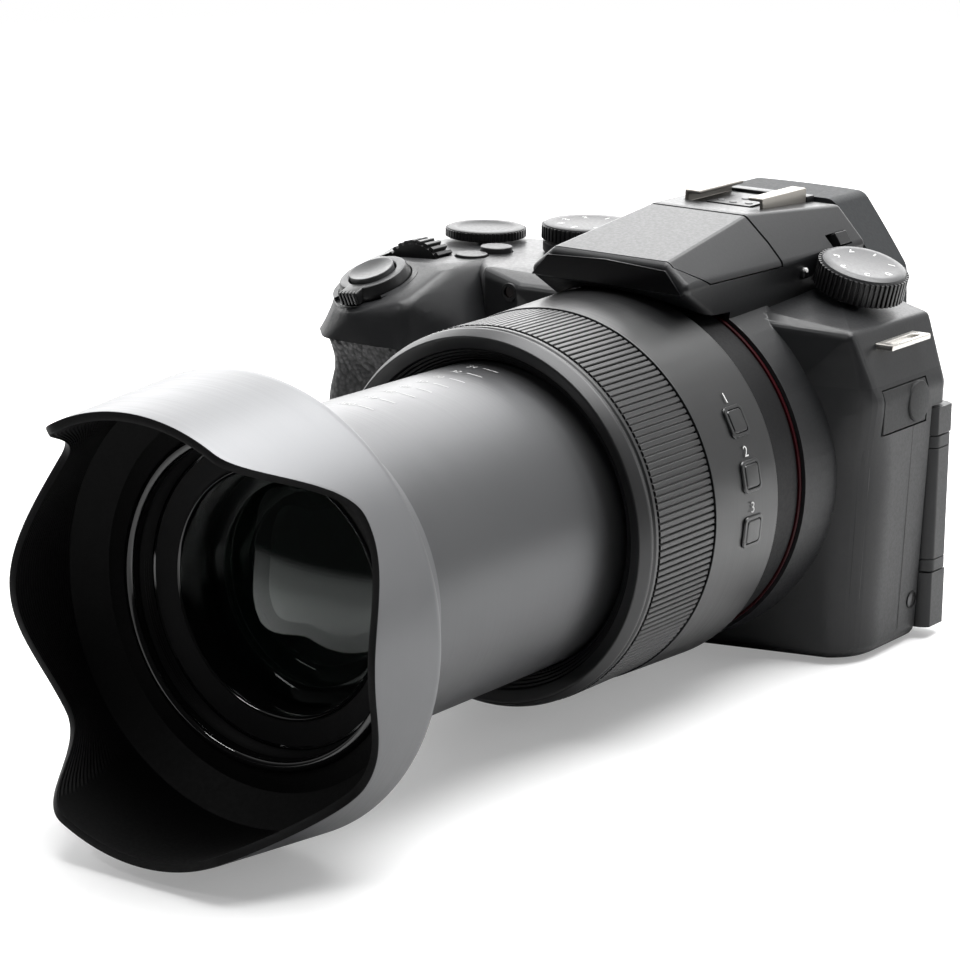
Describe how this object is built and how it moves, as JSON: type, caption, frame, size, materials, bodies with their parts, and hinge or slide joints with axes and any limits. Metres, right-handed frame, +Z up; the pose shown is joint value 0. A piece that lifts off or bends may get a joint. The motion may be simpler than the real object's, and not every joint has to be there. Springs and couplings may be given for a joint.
{
  "type": "bridge camera",
  "caption": "Bridge camera with an extending zoom lens, petal hood, deep hand grip, eye-level finder hump with flash lid and hot shoe, swing-out rear screen and tripod socket.",
  "frame": {"origin": "mouth of the tripod socket, on the base plane, below the lens axis", "axes": "+X to the right seen from the front, +Y to the rear, +Z up; the lens points along -Y"},
  "size_m": [0.1373, 0.2377, 0.1017],
  "materials": {
    "cover_plastic": "fine moulded grain",
    "control_plastic": "satin",
    "shutter_metal": "satin",
    "grip_rubber": "fine leather grain",
    "eyecup_rubber": "smooth matt",
    "plate_gloss": "gloss",
    "barrel_paint": "satin",
    "tube_paint": "satin",
    "hood_plastic": "satin",
    "lens_black": "matt",
    "accent_red": "satin",
    "optic_glass": "coated",
    "screen_glass": "gloss",
    "lamp_red": "gloss",
    "bright_steel": "brushed",
    "screw_steel": "blackened",
    "contact_plastic": "satin",
    "board_green": "solder mask",
    "battery_shell": "satin"
  },
  "bodies": {
    "camera_body": {"front_cover": "cover_plastic", "rear_cover": "cover_plastic", "top_cover": "cover_plastic", "base_plate": "cover_plastic", "hump_plate": "plate_gloss", "grip_skin": "grip_rubber", "thumb_rest": "grip_rubber", "hot_shoe": "bright_steel", "shoe_contacts": "contact_plastic", "eyecup": "eyecup_rubber", "eyepiece_lens": "optic_glass", "finder_unit": "lens_black", "strap_lugs": "bright_steel", "tripod_socket": "bright_steel", "battery": "battery_shell", "main_board": "board_green", "chassis": "bright_steel", "image_sensor": "board_green", "cover_screws": "screw_steel", "focus_lamp": "lamp_red", "neck_ring": "lens_black", "accent_ring": "accent_red", "lens_barrel": "barrel_paint", "barrel_bezel": "barrel_paint", "guide_tube": "lens_black", "rear_lens_group": "lens_black", "zoom_motor": "bright_steel"},
    "zoom_barrel": {"zoom_tube": "tube_paint", "front_ring": "lens_black", "front_lens": "optic_glass"},
    "hood": {"lens_hood": "hood_plastic"},
    "inner_group": {"inner_lens_group": "lens_black"},
    "ring": {"control_ring": "barrel_paint"},
    "flash": {"flash_lid": "cover_plastic", "flash_tube": "optic_glass"},
    "screen": {"screen_hinge": "control_plastic", "screen_frame": "control_plastic", "screen_glass": "screen_glass"},
    "lens_button_1_body": {"lens_button_1": "control_plastic"},
    "lens_button_2_body": {"lens_button_2": "control_plastic"},
    "lens_button_3_body": {"lens_button_3": "control_plastic"},
    "shutter_button_body": {"shutter_button": "shutter_metal"},
    "zoom_lever_body": {"zoom_lever": "control_plastic"},
    "front_dial_body": {"front_dial": "control_plastic"},
    "rear_dial_body": {"rear_dial": "control_plastic"},
    "mode_dial_body": {"mode_dial": "control_plastic"},
    "power_lever_body": {"power_lever": "control_plastic"},
    "drive_dial_body": {"drive_dial": "control_plastic"},
    "function_button_body": {"function_button": "control_plastic"},
    "record_button_body": {"record_button": "control_plastic"},
    "flash_switch_body": {"flash_switch": "control_plastic"},
    "diopter_wheel_body": {"diopter_wheel": "control_plastic"},
    "battery_door_body": {"battery_door": "cover_plastic"},
    "mic_door_body": {"mic_door": "grip_rubber"},
    "port_door_body": {"port_door": "grip_rubber"},
    "cursor_pad_body": {"cursor_pad": "control_plastic"},
    "set_button_body": {"set_button": "control_plastic"},
    "play_button_body": {"play_button": "control_plastic"},
    "lock_button_body": {"lock_button": "control_plastic"},
    "menu_button_body": {"menu_button": "control_plastic"}
  },
  "joints": [
    {"name": "zoom_slide", "type": "slide", "parent": "camera_body", "child": "zoom_barrel", "axis": [0, 1, 0], "range_m": [0, 0.06]},
    {"name": "hood_twist", "type": "hinge", "parent": "zoom_barrel", "child": "hood", "pos_m": [0, -0.155, 0.0411], "axis": [0, -1, 0], "range_deg": [0, 45]},
    {"name": "inner_group_slide", "type": "slide", "parent": "camera_body", "child": "inner_group", "axis": [0, 1, 0], "range_m": [0, 0.03]},
    {"name": "control_ring_turn", "type": "hinge", "parent": "camera_body", "child": "ring", "pos_m": [0, -0.0735, 0.0411], "axis": [0, -1, 0], "continuous": true},
    {"name": "lens_button_1_press", "type": "slide", "parent": "camera_body", "child": "lens_button_1_body", "axis": [-0.8829, 0, -0.4695], "range_m": [0, 0.0006], "stiffness_N_per_m": 400},
    {"name": "lens_button_2_press", "type": "slide", "parent": "camera_body", "child": "lens_button_2_body", "axis": [-0.9799, 0, -0.1994], "range_m": [0, 0.0006], "stiffness_N_per_m": 400},
    {"name": "lens_button_3_press", "type": "slide", "parent": "camera_body", "child": "lens_button_3_body", "axis": [-0.9962, 0, 0.0872], "range_m": [0, 0.0006], "stiffness_N_per_m": 400},
    {"name": "shutter_press", "type": "slide", "parent": "camera_body", "child": "shutter_button_body", "axis": [0.1308, 0.342, -0.9305], "range_m": [0, 0.0012], "stiffness_N_per_m": 300},
    {"name": "zoom_lever_turn", "type": "hinge", "parent": "camera_body", "child": "zoom_lever_body", "pos_m": [-0.0706, -0.0324, 0.0729], "axis": [-0.1308, -0.342, 0.9305], "range_deg": [-20, 20], "stiffness_Nm_per_rad": 0.02},
    {"name": "front_dial_turn", "type": "hinge", "parent": "camera_body", "child": "front_dial_body", "pos_m": [-0.0702, -0.0175, 0.0719], "axis": [0, 1, 0], "continuous": true},
    {"name": "rear_dial_turn", "type": "hinge", "parent": "camera_body", "child": "rear_dial_body", "pos_m": [-0.0693, 0.0084, 0.08], "axis": [0, 0, 1], "continuous": true},
    {"name": "mode_dial_turn", "type": "hinge", "parent": "camera_body", "child": "mode_dial_body", "pos_m": [-0.04, 0.009, 0.0835], "axis": [0, 0, 1], "continuous": true},
    {"name": "power_lever_turn", "type": "hinge", "parent": "camera_body", "child": "power_lever_body", "pos_m": [-0.04, 0.009, 0.08], "axis": [0, 0, 1], "range_deg": [0, 35]},
    {"name": "drive_dial_turn", "type": "hinge", "parent": "camera_body", "child": "drive_dial_body", "pos_m": [0.0312, 0.0084, 0.0774], "axis": [0.2582, -0.0698, 0.9636], "continuous": true},
    {"name": "function_press", "type": "slide", "parent": "camera_body", "child": "function_button_body", "axis": [0, 0, -1], "range_m": [0, 0.0006], "stiffness_N_per_m": 300},
    {"name": "record_press", "type": "slide", "parent": "camera_body", "child": "record_button_body", "axis": [0, 0, -1], "range_m": [0, 0.0008], "stiffness_N_per_m": 300},
    {"name": "flash_lift", "type": "hinge", "parent": "camera_body", "child": "flash", "pos_m": [0, -0.0106, 0.094], "axis": [-1, 0, 0], "range_deg": [0, 60]},
    {"name": "flash_switch_slide", "type": "slide", "parent": "camera_body", "child": "flash_switch_body", "axis": [0, -1, 0], "range_m": [0, 0.002], "stiffness_N_per_m": 150},
    {"name": "screen_swing", "type": "hinge", "parent": "camera_body", "child": "screen", "pos_m": [0.0459, 0.018, 0.0279], "axis": [0, 0, -1], "range_deg": [0, 180]},
    {"name": "diopter_turn", "type": "hinge", "parent": "camera_body", "child": "diopter_wheel_body", "pos_m": [-0.0272, 0.02, 0.0825], "axis": [1, 0, 0], "range_deg": [-120, 120]},
    {"name": "battery_door_swing", "type": "hinge", "parent": "camera_body", "child": "battery_door_body", "pos_m": [-0.056, -0.013, 0], "axis": [0, -1, 0], "range_deg": [0, 95]},
    {"name": "mic_door_swing", "type": "hinge", "parent": "camera_body", "child": "mic_door_body", "pos_m": [0.0488, -0.0085, 0.056], "axis": [0, 0, -1], "range_deg": [0, 100]},
    {"name": "port_door_swing", "type": "hinge", "parent": "camera_body", "child": "port_door_body", "pos_m": [-0.0843, 0.0065, 0.029], "axis": [0, 0, 1], "range_deg": [0, 100]},
    {"name": "cursor_press", "type": "slide", "parent": "camera_body", "child": "cursor_pad_body", "axis": [0, -1, 0], "range_m": [0, 0.0006], "stiffness_N_per_m": 300},
    {"name": "set_press", "type": "slide", "parent": "camera_body", "child": "set_button_body", "axis": [0, -1, 0], "range_m": [0, 0.0006], "stiffness_N_per_m": 300},
    {"name": "play_press", "type": "slide", "parent": "camera_body", "child": "play_button_body", "axis": [0, -1, 0], "range_m": [0, 0.0006], "stiffness_N_per_m": 300},
    {"name": "lock_press", "type": "slide", "parent": "camera_body", "child": "lock_button_body", "axis": [0, -1, 0], "range_m": [0, 0.0006], "stiffness_N_per_m": 300},
    {"name": "menu_press", "type": "slide", "parent": "camera_body", "child": "menu_button_body", "axis": [0, -1, 0], "range_m": [0, 0.0006], "stiffness_N_per_m": 300}
  ],
  "couplings": [
    {"joint": "inner_group_slide", "follows": "zoom_slide", "ratio": 0.5}
  ]
}
